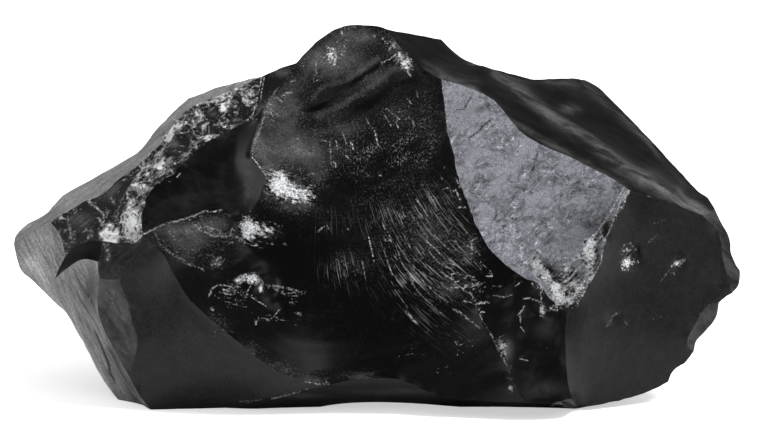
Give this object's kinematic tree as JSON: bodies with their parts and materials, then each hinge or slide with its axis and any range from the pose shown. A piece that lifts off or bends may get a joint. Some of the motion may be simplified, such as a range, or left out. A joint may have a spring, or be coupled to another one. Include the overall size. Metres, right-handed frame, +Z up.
{
  "type": "obsidian chunk",
  "caption": "Rough lump of black volcanic glass with curved flake scars, sharp edges, a frosted face and a flat underside to rest on.",
  "frame": {"origin": "middle of the stone's box, on the ground that the stone rests on", "axes": "+X along the stone's length, from its narrow end to its blunt end; -Y out of the main scar; +Z up"},
  "size_m": [0.08, 0.0442, 0.0397],
  "materials": {
    "obsidian_glass": "opaque black volcanic glass, glossy on fresh scars, frosted on weathered faces, crushed white along some edges"
  },
  "bodies": {
    "root": {"obsidian_chunk": "obsidian_glass"}
  },
  "joints": []
}
